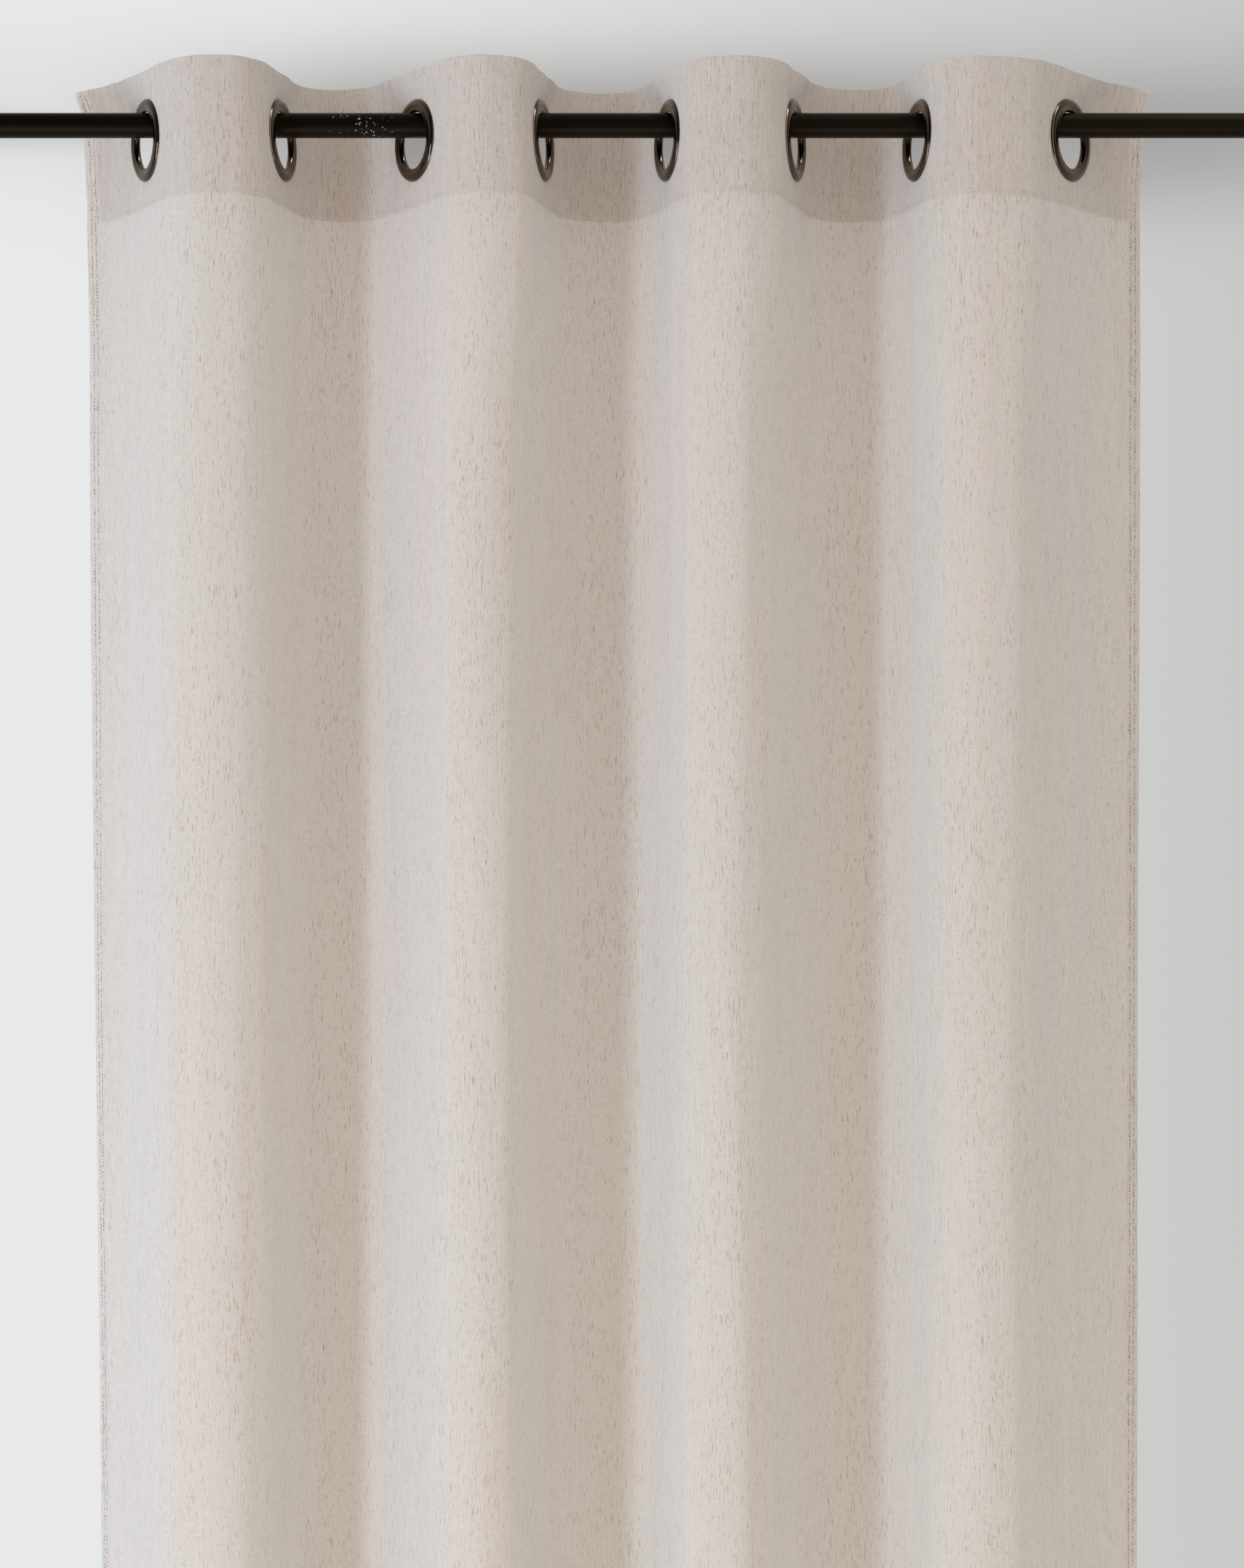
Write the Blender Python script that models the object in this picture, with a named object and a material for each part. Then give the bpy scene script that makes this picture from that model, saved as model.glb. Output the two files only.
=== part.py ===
"""Semi-sheer voile curtain, standing in waves on a plain rod that runs through its metal eyelets.

Metres. X runs along the rod, -Y is the room side, +Z is up. The origin is the middle of the rod,
on its axis. A place on the cloth is its flat width s, from the left edge as seen from the room,
and its height z.
"""

import math

import bmesh
import bpy
import numpy as np
from mathutils import Matrix, Vector

# The panel as cut and hemmed
PANEL_WIDTH = 1.50
PANEL_DROP = 2.50
FACING_DEPTH = 0.108
SIDE_HEM = 0.013
BOTTOM_HEM = 0.050
CLOTH = 0.0012
GAP = 0.0003  # between pieces that touch

# The eyelets, each a turned ring that clamps the panel and its facing in a groove
EYELET_RADIUS = 0.033
EYELET_BORE = 0.0225
EYELET_BARREL = 0.0245
EYELET_PITCH = 0.185
EYELET_DROP = 0.054  # centre below the top edge
EYELET_STEPS = 20
FLANGE_HEIGHT = 0.0036  # from the ring's middle to the crown of each flange
FLANGE_EDGE = 0.0026
LIP_HEIGHT = 0.0024
FLAT_REACH = 0.034  # the cloth stays flat this far all round an eyelet's centre
REACH_LOSS = 0.010  # above and below the eyelets the flat stretches are this much shorter
REACH_FADE = 0.020

# The rod
ROD_RADIUS = 0.010
ROD_LENGTH = 1.20
ROD_STEPS = 32
SEAT_GAP = 0.0004  # between the rod's top and the bores that hang on it

# Where the rod carries each eyelet and how the cloth passes through it: place along the rod, angle
# of the cloth to the rod at the top edge, at the eyelet and low down, sideways lean for each unit of
# drop, how far the crossing shifts at the top edge and low down, and how far the top edge rises
EYELET_COLUMNS = ("x", "top_angle", "angle", "low_angle", "lean", "top_shift", "low_shift", "top_rise")
EYELET_ROWS = (
    (-0.3720, 58.0, 63.0, 65.0, 0.030, -0.0042, -0.0013, 0.0010),
    (-0.2632, 78.0, 78.0, 80.0, 0.053, -0.0015, -0.0002, 0.0002),
    (-0.1553, 58.5, 59.0, 60.0, 0.000, -0.0038, -0.0033, 0.0014),
    (-0.0532, 78.0, 78.0, 70.0, 0.039, 0.0024, -0.0041, -0.0014),
    (0.0486, 73.0, 74.0, 73.0, -0.018, -0.0044, -0.0006, -0.0019),
    (0.1501, 71.5, 74.0, 64.0, 0.016, 0.0033, -0.0035, 0.0008),
    (0.2500, 78.0, 76.0, 75.0, -0.043, -0.0020, 0.0017, 0.0016),
    (0.3720, 53.0, 54.5, 51.0, 0.009, 0.0048, -0.0037, 0.0012),
)
SETTLED_DEPTH = 0.250  # below the eyelets' centres, where the folds have taken their low shape

# The free side edges: angle of the cloth to the rod there, by depth below the eyelets' centres
EDGE_COLUMNS = ("depth", "left", "right")
EDGE_ROWS = (
    (-0.054, 37.5, 32.5),
    (-0.044, 31.5, 24.5),
    (-0.036, 25.5, 18.0),
    (-0.018, 28.0, 24.5),
    (0.034, 30.5, 33.0),
    (0.050, 35.0, 37.0),
    (0.157, 40.0, 35.5),
    (0.290, 40.5, 35.5),
    (0.650, 45.5, 39.0),
    (1.170, 56.0, 41.0),
    (2.450, 58.0, 43.0),
)

BEND_SEGMENTS = 11
FLAP_SEGMENTS = 5
FINE_STEP = 0.0005
BEND_SAMPLES = 300
HEADING_DROPS = (EYELET_DROP - FLAT_REACH, EYELET_DROP + FLAT_REACH, FACING_DEPTH)
PANEL_DROPS = (*HEADING_DROPS, 0.150, 0.210, 0.300, 0.420, 0.580, 0.780, 1.060, 1.700)

TOP_Z = ROD_RADIUS + SEAT_GAP - EYELET_BORE + EYELET_DROP
EYELET_Z = TOP_Z - EYELET_DROP
HEM_STEP = 0.0005
LAYER_FRONT = GAP / 2
EYELETS = dict(zip(EYELET_COLUMNS, np.array(EYELET_ROWS).T))
EDGES = dict(zip(EDGE_COLUMNS, np.array(EDGE_ROWS).T))
COUNT = len(EYELET_ROWS)
MARGIN = (PANEL_WIDTH - (COUNT - 1) * EYELET_PITCH) / 2
EYELET_S = MARGIN + EYELET_PITCH * np.arange(COUNT)


def clear_scene():
    for obj in list(bpy.data.objects):
        bpy.data.objects.remove(obj, do_unlink=True)


def smooth_step(t):
    t = np.clip(t, 0.0, 1.0)
    return t * t * (3.0 - 2.0 * t)


def between_states(z, top, at_eyelet, low):
    """A value at height z: one at the top edge, one all round the eyelet and one where folds settle."""
    depth = EYELET_Z - z
    upper = smooth_step((-depth - FLAT_REACH) / (EYELET_DROP - FLAT_REACH))
    lower = smooth_step((depth - FLAT_REACH) / (SETTLED_DEPTH - FLAT_REACH))
    return upper * top + lower * low + (1.0 - upper - lower) * at_eyelet


def anchors(z):
    """Where the cloth crosses the plane of the rod at height z."""
    leaning = EYELETS["lean"] * np.clip(EYELET_Z - z, -FLAT_REACH, FLAT_REACH)
    return EYELETS["x"] + between_states(z, EYELETS["top_shift"], leaning, EYELETS["low_shift"])


def crossings(z):
    """Signed angle of the cloth at each crossing: minus comes forward, plus goes back."""
    angle = between_states(z, EYELETS["top_angle"], EYELETS["angle"], EYELETS["low_angle"])
    return np.radians(angle) * np.where(np.arange(COUNT) % 2 == 0, -1.0, 1.0)


def flat_reach(z):
    """How far the cloth is flat to each side of a crossing."""
    beyond = abs(EYELET_Z - z) - FLAT_REACH
    return FLAT_REACH - REACH_LOSS * smooth_step(beyond / REACH_FADE)


def bend_profile(t, crowding, skew):
    """Share of a fold's turn that is made by t: crowding gathers the turn at its crest."""
    w = t + skew * t * (1.0 - t)
    return w + crowding * w * (1.0 - w) * (2.0 * w - 1.0)


def bend_miss(start, end, width, reach, shape):
    """How far a fold of this shape misses the next eyelet, along the rod and across it."""
    t = (np.arange(BEND_SAMPLES) + 0.5) / BEND_SAMPLES
    angle = start + (end - start) * bend_profile(t, *shape)
    bend_width = EYELET_PITCH - 2.0 * reach
    along = reach * (math.cos(start) + math.cos(end)) + bend_width * np.cos(angle).mean()
    across = reach * (math.sin(start) + math.sin(end)) + bend_width * np.sin(angle).mean()
    return np.array([along - width, across])


def fit_bend(start, end, width, reach):
    """The crowding and skew with which a fold's flat width spans the gap between two eyelets."""
    shape = np.zeros(2)
    nudges = 1e-4 * np.eye(2)
    for _ in range(12):
        miss = bend_miss(start, end, width, reach, shape)
        nudged = [bend_miss(start, end, width, reach, shape + nudge) for nudge in nudges]
        slopes = [(after - miss) / nudges.max() for after in nudged]
        shape -= np.linalg.solve(np.array(slopes).T, miss)
    return shape


def turning(s, z):
    """Signed angle of the cloth to the rod at flat widths s and height z."""
    crossing = crossings(z)
    place = anchors(z)
    reach = flat_reach(z)
    flap_width = MARGIN - reach
    depth = EYELET_Z - z
    left = -math.radians(np.interp(depth, EDGES["depth"], EDGES["left"]))
    right = math.radians(np.interp(depth, EDGES["depth"], EDGES["right"]))
    angle = left + (crossing[0] - left) * np.clip(s / flap_width, 0.0, 1.0)
    for i in range(COUNT - 1):
        t = np.clip((s - EYELET_S[i] - reach) / (EYELET_PITCH - 2.0 * reach), 0.0, 1.0)
        shape = fit_bend(crossing[i], crossing[i + 1], place[i + 1] - place[i], reach)
        angle += (crossing[i + 1] - crossing[i]) * bend_profile(t, *shape)
    return angle + (right - crossing[-1]) * np.clip((s - PANEL_WIDTH) / flap_width + 1.0, 0.0, 1.0)


def section(s, z):
    """Places x, y and angles of the cloth's middle surface at flat widths s and height z."""
    count = round(PANEL_WIDTH / FINE_STEP)
    edges = np.linspace(0.0, PANEL_WIDTH, count + 1)
    middles = (edges[1:] + edges[:-1]) / 2.0
    angle = turning(middles, z)
    x = np.concatenate([[0.0], np.cumsum(np.cos(angle))]) * PANEL_WIDTH / count
    y = np.concatenate([[0.0], np.cumsum(np.sin(angle))]) * PANEL_WIDTH / count
    x += anchors(z)[0] - np.interp(EYELET_S[0], edges, x)
    y -= np.interp(EYELET_S[0], edges, y)
    return np.interp(s, edges, x), np.interp(s, edges, y), turning(s, z)


def columns(margin_stops):
    """Flat widths of a sheet's columns, from the left edge to the right. margin_stops start them."""
    flap = np.linspace(margin_stops[-1], MARGIN - FLAT_REACH, FLAP_SEGMENTS + 1)
    left = np.concatenate([margin_stops, flap[1:]])
    bend = np.linspace(FLAT_REACH, EYELET_PITCH - FLAT_REACH, BEND_SEGMENTS + 1)
    folds = [centre + bend for centre in EYELET_S[:-1]]
    return np.concatenate([left, *folds, (PANEL_WIDTH - left)[::-1]])


def sheet_points(s, heights, front, back):
    """Front and back grids of points, offset from the middle surface towards the room."""
    grids = np.zeros((2, len(heights), len(s), 3))
    for row, z in enumerate(heights):
        x, y, angle = section(s, z)
        for side, offset in enumerate((front, back[row])):
            grids[side, row, :, 0] = x + offset * np.sin(angle)
            grids[side, row, :, 1] = y - offset * np.cos(angle)
            grids[side, row, :, 2] = z
    grids[:, 0, :, 2] += np.interp(s, EYELET_S, EYELETS["top_rise"])
    return grids


def closed_sheet(name, grids):
    """A mesh from a front and a back grid, joined round their rims."""
    rows, cols = grids.shape[1:3]
    index = np.arange(2 * rows * cols).reshape(2, rows, cols)
    front, back = index
    quads = [
        np.stack([front[:-1, :-1], front[1:, :-1], front[1:, 1:], front[:-1, 1:]], axis=-1),
        np.stack([back[:-1, :-1], back[:-1, 1:], back[1:, 1:], back[1:, :-1]], axis=-1),
        np.stack([front[0, :-1], front[0, 1:], back[0, 1:], back[0, :-1]], axis=-1),
        np.stack([front[-1, 1:], front[-1, :-1], back[-1, :-1], back[-1, 1:]], axis=-1),
        np.stack([front[1:, 0], front[:-1, 0], back[:-1, 0], back[1:, 0]], axis=-1),
        np.stack([front[:-1, -1], front[1:, -1], back[1:, -1], back[:-1, -1]], axis=-1),
    ]
    faces = np.concatenate([quad.reshape(-1, 4) for quad in quads])
    mesh = bpy.data.meshes.new(name)
    mesh.from_pydata(grids.reshape(-1, 3).tolist(), [], faces.tolist())
    mesh.validate()
    return mesh


def add_object(name, mesh, material):
    obj = bpy.data.objects.new(name, mesh)
    bpy.context.scene.collection.objects.link(obj)
    if material:
        mesh.materials.append(material)
    return obj


def principled(name, colour, roughness, metallic=0.0):
    material = bpy.data.materials.new(name)
    material.use_nodes = True
    shader = material.node_tree.nodes["Principled BSDF"]
    shader.inputs["Base Color"].default_value = (*colour, 1.0)
    shader.inputs["Roughness"].default_value = roughness
    shader.inputs["Metallic"].default_value = metallic
    return material


def voile_material():
    return principled("Linen-look voile", (0.66, 0.60, 0.53), 0.85)


def facing_material():
    return principled("Voile facing", (0.60, 0.53, 0.46), 0.85)


def nickel_material():
    return principled("Black nickel plate", (0.20, 0.17, 0.15), 0.25, 1.0)


def rod_material():
    return principled("Satin black coated steel", (0.012, 0.012, 0.013), 0.42)


def eyelet_frame(i):
    """Placement of eyelet i: its X along the cloth, its Y up in the cloth, its Z towards the room."""
    angle = crossings(EYELET_Z)[i]
    along = Vector((math.cos(angle), math.sin(angle), 0.0))
    up = Vector((-EYELETS["lean"][i], 0.0, 1.0))
    out = along.cross(up).normalized()
    placed = Matrix((along, out.cross(along), out)).transposed().to_4x4()
    placed.translation = (EYELETS["x"][i], 0.0, EYELET_Z)
    return placed


def revolved(name, profile, steps, closed):
    """A mesh turned about Z from (radius, height) points, listed so that its faces point out."""
    angles = 2.0 * math.pi * np.arange(steps) / steps
    radius, height = np.array(profile).T
    turn = np.stack([np.cos(angles), np.sin(angles), np.zeros(steps)], axis=1)
    points = turn[:, None] * radius[:, None] + np.stack([0.0 * height, 0.0 * height, height], axis=1)
    index = np.arange(steps * len(profile)).reshape(steps, -1)
    turned = np.roll(index, -1, axis=0)
    below, below_turned = np.roll(index, -1, axis=1), np.roll(turned, -1, axis=1)
    faces = np.stack([index, below, below_turned, turned], axis=-1)
    faces = faces if closed else faces[:, :-1]
    caps = [] if closed else [index[::-1, -1].tolist(), index[:, 0].tolist()]
    mesh = bpy.data.meshes.new(name)
    mesh.from_pydata(points.reshape(-1, 3).tolist(), [], faces.reshape(-1, 4).tolist() + caps)
    mesh.validate()
    return mesh


def eyelet_profile():
    """A spool's closed section: bore, domed flange, rim, groove for the cloth, and the same again."""
    groove = LAYER_FRONT + CLOTH + GAP
    half = (
        (EYELET_BORE + 0.0006, LIP_HEIGHT),
        (EYELET_BORE + 0.0027, FLANGE_HEIGHT),
        (EYELET_RADIUS - 0.0044, FLANGE_HEIGHT),
        (EYELET_RADIUS - 0.0004, FLANGE_EDGE),
        (EYELET_RADIUS, groove),
        (EYELET_BARREL, groove),
    )
    lower = [(radius, -height) for radius, height in reversed(half)]
    return [*half, *lower, (EYELET_BORE, 0.0)]


def build_eyelets(material):
    mesh = revolved("eyelet", eyelet_profile(), EYELET_STEPS, closed=True)
    mesh.materials.append(material)
    mesh.shade_smooth()
    mesh.set_sharp_from_angle(angle=math.radians(50))
    for i in range(COUNT):
        eyelet = add_object(f"eyelet_{i + 1}", mesh, None)
        eyelet.matrix_world = eyelet_frame(i)


def eyelet_cutter():
    """One cylinder through the cloth at each eyelet, with the gap that the barrel needs."""
    merged = bmesh.new()
    reach = 4.0 * CLOTH
    profile = [(EYELET_BARREL + GAP, reach), (EYELET_BARREL + GAP, -reach)]
    plug = revolved("plug", profile, EYELET_STEPS, closed=False)
    for i in range(COUNT):
        placed = plug.copy()
        placed.transform(eyelet_frame(i))
        merged.from_mesh(placed)
    mesh = bpy.data.meshes.new("eyelet_cutter")
    merged.to_mesh(mesh)
    merged.free()
    cutter = add_object("eyelet_cutter", mesh, None)
    cutter.hide_render = True
    cutter.display_type = "WIRE"
    return cutter


def punch(sheet, cutter):
    holes = sheet.modifiers.new("Eyelet holes", "BOOLEAN")
    holes.operation = "DIFFERENCE"
    holes.solver = "EXACT"
    holes.object = cutter


def build_panel(material, cutter):
    """The full drop. Its side and bottom hems are two layers thick, towards the back."""
    stops = (0.0, SIDE_HEM, SIDE_HEM + HEM_STEP)
    s = columns(stops)
    bottom = TOP_Z - PANEL_DROP
    hem_rows = (bottom + BOTTOM_HEM + HEM_STEP, bottom + BOTTOM_HEM, bottom)
    heights = np.array([TOP_Z, *(TOP_Z - np.array(PANEL_DROPS)), *hem_rows])
    back = np.full((len(heights), len(s)), LAYER_FRONT)
    back[:, [0, 1, -2, -1]] = -LAYER_FRONT - CLOTH
    back[-2:] = -LAYER_FRONT - CLOTH
    mesh = closed_sheet("panel", sheet_points(s, heights, LAYER_FRONT + CLOTH, back))
    punch(add_object("panel", mesh, material), cutter)


def build_heading(material, cutter):
    """The facing, turned over at the top edge and lying behind the panel between its side hems."""
    s = columns((SIDE_HEM + HEM_STEP + GAP,))
    heights = np.array([TOP_Z, *(TOP_Z - np.array(HEADING_DROPS))])
    back = np.full((len(heights), len(s)), -LAYER_FRONT - CLOTH)
    mesh = closed_sheet("heading", sheet_points(s, heights, -LAYER_FRONT, back))
    punch(add_object("heading", mesh, material), cutter)


def build_rod(material):
    half = ROD_LENGTH / 2
    mesh = revolved("rod", [(ROD_RADIUS, half), (ROD_RADIUS, -half)], ROD_STEPS, closed=False)
    mesh.shade_smooth()
    mesh.set_sharp_from_angle(angle=math.radians(50))
    rod = add_object("rod", mesh, material)
    rod.rotation_euler = (0.0, math.pi / 2, 0.0)


def main():
    clear_scene()
    cutter = eyelet_cutter()
    build_panel(voile_material(), cutter)
    build_heading(facing_material(), cutter)
    build_eyelets(nickel_material())
    build_rod(rod_material())


main()
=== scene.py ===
import math

import bpy
import numpy as np
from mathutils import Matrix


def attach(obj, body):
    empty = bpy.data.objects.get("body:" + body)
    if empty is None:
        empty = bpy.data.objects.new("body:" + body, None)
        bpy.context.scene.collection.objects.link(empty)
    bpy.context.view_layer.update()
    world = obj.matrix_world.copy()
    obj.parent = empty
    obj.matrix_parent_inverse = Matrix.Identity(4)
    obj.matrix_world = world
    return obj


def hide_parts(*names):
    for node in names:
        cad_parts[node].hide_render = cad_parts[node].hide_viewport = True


# A semi-sheer voile curtain, standing in waves on a satin black rod that runs through its eyelets.
# Metres: X runs along the rod, -Y is the room side, +Z is up, and the rod's middle is the origin.
# A place on the cloth is its flat width s from the left edge, its drop below the top edge, and its
# lift off the cloth's middle surface towards the room.

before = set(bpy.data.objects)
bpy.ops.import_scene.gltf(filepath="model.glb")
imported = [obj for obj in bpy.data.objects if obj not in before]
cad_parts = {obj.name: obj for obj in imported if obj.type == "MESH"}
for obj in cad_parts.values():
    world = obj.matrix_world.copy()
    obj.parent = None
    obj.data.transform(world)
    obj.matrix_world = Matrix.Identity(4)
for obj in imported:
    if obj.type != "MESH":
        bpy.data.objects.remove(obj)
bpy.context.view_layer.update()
print("frame: loaded", len(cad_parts), "nodes")


# The cloth's folds, with the part's own sizes

curtain = {
    "width": 1.50,
    "drop": 2.50,
    "facingDepth": 0.108,
    "eyeletPitch": 0.185,
    "eyeletDrop": 0.054,  # centre below the top edge
    "flatReach": 0.034,  # the cloth stays flat this far all round an eyelet
    "reachLoss": 0.010,  # above and below the eyelets the flat stretches are this much shorter
    "reachFade": 0.020,
    "topZ": 0.0419,
    "topStrip": 0.020,  # the rise of the top edge dies away over this drop
    "settledDepth": 0.250,  # below the eyelets' centres, where the folds have taken their low shape
}
# Each eyelet: place on the rod, the cloth's angle to the rod at the top edge, at the eyelet and low
# down, sideways lean for each unit of drop, the crossing's shift at the top edge and low down, and
# the rise of the top edge
eyeletRows = np.array([
    (-0.3720, 58.0, 63.0, 65.0, 0.030, -0.0042, -0.0013, 0.0010),
    (-0.2632, 78.0, 78.0, 80.0, 0.053, -0.0015, -0.0002, 0.0002),
    (-0.1553, 58.5, 59.0, 60.0, 0.000, -0.0038, -0.0033, 0.0014),
    (-0.0532, 78.0, 78.0, 70.0, 0.039, 0.0024, -0.0041, -0.0014),
    (0.0486, 73.0, 74.0, 73.0, -0.018, -0.0044, -0.0006, -0.0019),
    (0.1501, 71.5, 74.0, 64.0, 0.016, 0.0033, -0.0035, 0.0008),
    (0.2500, 78.0, 76.0, 75.0, -0.043, -0.0020, 0.0017, 0.0016),
    (0.3720, 53.0, 54.5, 51.0, 0.009, 0.0048, -0.0037, 0.0012),
])
eyeletColumns = ("x", "topAngle", "angle", "lowAngle", "lean", "topShift", "lowShift", "topRise")
eyelets = dict(zip(eyeletColumns, eyeletRows.T))
# The free side edges: the cloth's angle to the rod there, by depth below the eyelets' centres
edgeRows = np.array([
    (-0.054, 37.5, 32.5),
    (-0.044, 31.5, 24.5),
    (-0.036, 25.5, 18.0),
    (-0.018, 28.0, 24.5),
    (0.034, 30.5, 33.0),
    (0.050, 35.0, 37.0),
    (0.157, 40.0, 35.5),
    (0.290, 40.5, 35.5),
    (0.650, 45.5, 39.0),
    (1.170, 56.0, 41.0),
    (2.450, 58.0, 43.0),
])
edges = dict(zip(("depth", "left", "right"), edgeRows.T))

eyeletCount = len(eyeletRows)
eyeletZ = curtain["topZ"] - curtain["eyeletDrop"]
margin = (curtain["width"] - (eyeletCount - 1) * curtain["eyeletPitch"]) / 2
eyeletS = margin + curtain["eyeletPitch"] * np.arange(eyeletCount)


def smoothStep(t):
    # 0 below 0, 1 above 1, and the cubic 3t^2 - 2t^3 between them
    t = np.clip(t, 0, 1)
    return t * t * (3 - 2 * t)


def betweenStates(depth, top, atEyelet, low):
    # a row for each depth, blended from three states: at the top edge, all round the eyelets, and where
    # the folds have settled
    depth = np.asarray(depth)[:, None]
    reach = curtain["flatReach"]
    upper = smoothStep((-depth - reach) / (curtain["eyeletDrop"] - reach))
    lower = smoothStep((depth - reach) / (curtain["settledDepth"] - reach))
    return upper * top + lower * low + (1 - upper - lower) * atEyelet


def rodPlaces(depth):
    # where the cloth crosses the plane of the rod, leaning with the eyelet while it is beside it
    leaning = eyelets["lean"] * np.clip(depth, -curtain["flatReach"], curtain["flatReach"])[:, None]
    return eyelets["x"] + betweenStates(depth, eyelets["topShift"], leaning, eyelets["lowShift"])


def rodAngles(depth):
    # signed angle of the cloth at each crossing: minus comes forward, plus goes back
    angle = betweenStates(depth, eyelets["topAngle"], eyelets["angle"], eyelets["lowAngle"])
    return np.radians(angle) * np.where(np.arange(eyeletCount) % 2 == 0, -1, 1)


def flatReach(depth):
    # how far the cloth is flat to each side of a crossing: the full reach at the eyelets, less elsewhere
    beyond = (np.abs(depth) - curtain["flatReach"]) / curtain["reachFade"]
    return (curtain["flatReach"] - curtain["reachLoss"] * smoothStep(beyond))[:, None]


def bendProfile(t, crowding, skew):
    # share of a fold's turn made by t: skew leans it to one side, crowding gathers it at the crest
    w = t + skew * t * (1 - t)
    return w + crowding * w * (1 - w) * (2 * w - 1)


def bendMiss(start, end, width, reach, crowding, skew):
    # how far a fold misses the next eyelet, along and across the rod: its two flat runs and the mean
    # direction of its bend, added up
    samples = 300
    t = (np.arange(samples) + 0.5) / samples
    turn = bendProfile(t, crowding[..., None], skew[..., None])
    angle = start[..., None] + (end - start)[..., None] * turn
    bendWidth = curtain["eyeletPitch"] - 2 * reach
    along = reach * (np.cos(start) + np.cos(end)) + bendWidth * np.cos(angle).mean(-1)
    across = reach * (np.sin(start) + np.sin(end)) + bendWidth * np.sin(angle).mean(-1)
    return along - width, across


def fitBends(start, end, width, reach):
    # the crowding and skew with which each flat width spans its gap: each round mends all the folds at
    # once, by their misses over the slopes of those misses
    crowding, skew = np.zeros_like(width), np.zeros_like(width)
    nudge, rounds = 1e-4, 12
    for _ in range(rounds):
        a, b = bendMiss(start, end, width, reach, crowding, skew)
        aCrowd, bCrowd = bendMiss(start, end, width, reach, crowding + nudge, skew)
        aSkew, bSkew = bendMiss(start, end, width, reach, crowding, skew + nudge)
        aCrowd, bCrowd = (aCrowd - a) / nudge, (bCrowd - b) / nudge
        aSkew, bSkew = (aSkew - a) / nudge, (bSkew - b) / nudge
        det = aCrowd * bSkew - aSkew * bCrowd
        crowding = crowding - (a * bSkew - b * aSkew) / det
        skew = skew - (b * aCrowd - a * bCrowd) / det
    return crowding, skew


def foldAngles(s, depth):
    # angle of the cloth to the rod on a grid of depths by flat widths: each side flap turns evenly
    # from its edge to the first eyelet, and each gap between eyelets turns by its own bend
    cross, place, reach = rodAngles(depth), rodPlaces(depth), flatReach(depth)
    left = -np.radians(np.interp(depth, edges["depth"], edges["left"]))[:, None]
    right = np.radians(np.interp(depth, edges["depth"], edges["right"]))[:, None]
    crowding, skew = fitBends(cross[:, :-1], cross[:, 1:], np.diff(place, axis=1), reach)
    angle = left + (cross[:, :1] - left) * np.clip(s / (margin - reach), 0, 1)
    for i in range(eyeletCount - 1):
        t = np.clip((s - eyeletS[i] - reach) / (curtain["eyeletPitch"] - 2 * reach), 0, 1)
        turn = bendProfile(t, crowding[:, i:i + 1], skew[:, i:i + 1])
        angle = angle + (cross[:, i + 1:i + 2] - cross[:, i:i + 1]) * turn
    return angle + (right - cross[:, -1:]) * np.clip((s - curtain["width"]) / (margin - reach) + 1, 0, 1)


# The folds, worked out once on a fine table of depths by flat widths, and read from it below
foldTable = {
    "step": 0.0005,
    "headDrop": 0.20,  # down to here its rows lie closer together than below
    "headRow": 0.005,
    "lowRow": 0.020,
}
tableStep = foldTable["step"]
tableS = np.linspace(0, curtain["width"], round(curtain["width"] / tableStep) + 1)
headDrops = np.arange(0, foldTable["headDrop"], foldTable["headRow"])
pastHem = curtain["drop"] + 1.05 * foldTable["lowRow"]  # so the last row lies one row past the hem
tableDrop = np.concatenate([headDrops, np.arange(foldTable["headDrop"], pastHem, foldTable["lowRow"])])
tableDepth = tableDrop - curtain["eyeletDrop"]
midAngle = foldAngles((tableS[1:] + tableS[:-1]) / 2, tableDepth)
startEdge = np.zeros((len(tableDrop), 1))
tableX = np.concatenate([startEdge, np.cumsum(np.cos(midAngle), axis=1) * tableStep], axis=1)
tableY = np.concatenate([startEdge, np.cumsum(np.sin(midAngle), axis=1) * tableStep], axis=1)
firstEyelet = round(eyeletS[0] / tableStep)
tableX += rodPlaces(tableDepth)[:, :1] - tableX[:, firstEyelet:firstEyelet + 1]
tableY -= tableY[:, firstEyelet:firstEyelet + 1]
tableAngle = foldAngles(tableS, tableDepth)
print("folds: table of", tableX.shape)


def fromTable(table, s, drop):
    # reads a table at any places, in straight lines between its rows and columns, and never past them
    col = np.clip(s / tableStep, 0, len(tableS) - 1.001)
    row = np.clip(np.interp(drop, tableDrop, np.arange(len(tableDrop))), 0, len(tableDrop) - 1.001)
    c, r = col.astype(int), row.astype(int)
    u, v = col - c, row - r
    top = table[r, c] * (1 - u) + table[r, c + 1] * u
    return top * (1 - v) + (table[r + 1, c] * (1 - u) + table[r + 1, c + 1] * u) * v


unevenness = {
    # soft upright ripples: size in metres, wavelengths across and down the cloth, phase
    "ripples": (
        (0.00050, 0.061, 1.90, 0.4),
        (0.00040, 0.043, 1.30, 2.1),
        (0.00030, 0.029, 0.80, 4.0),
    ),
    "sway": 0.9,  # how far the ripples wander sideways, in radians of their waves
    "calmReach": 0.055,  # no ripple this close to an eyelet
    # ups and downs of the turned top edge: size in metres, radians for each metre, phase
    "topWaves": (
        (0.00025, 47.0, 0.6),
        (0.00015, 83.0, 2.0),
    ),
}


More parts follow.
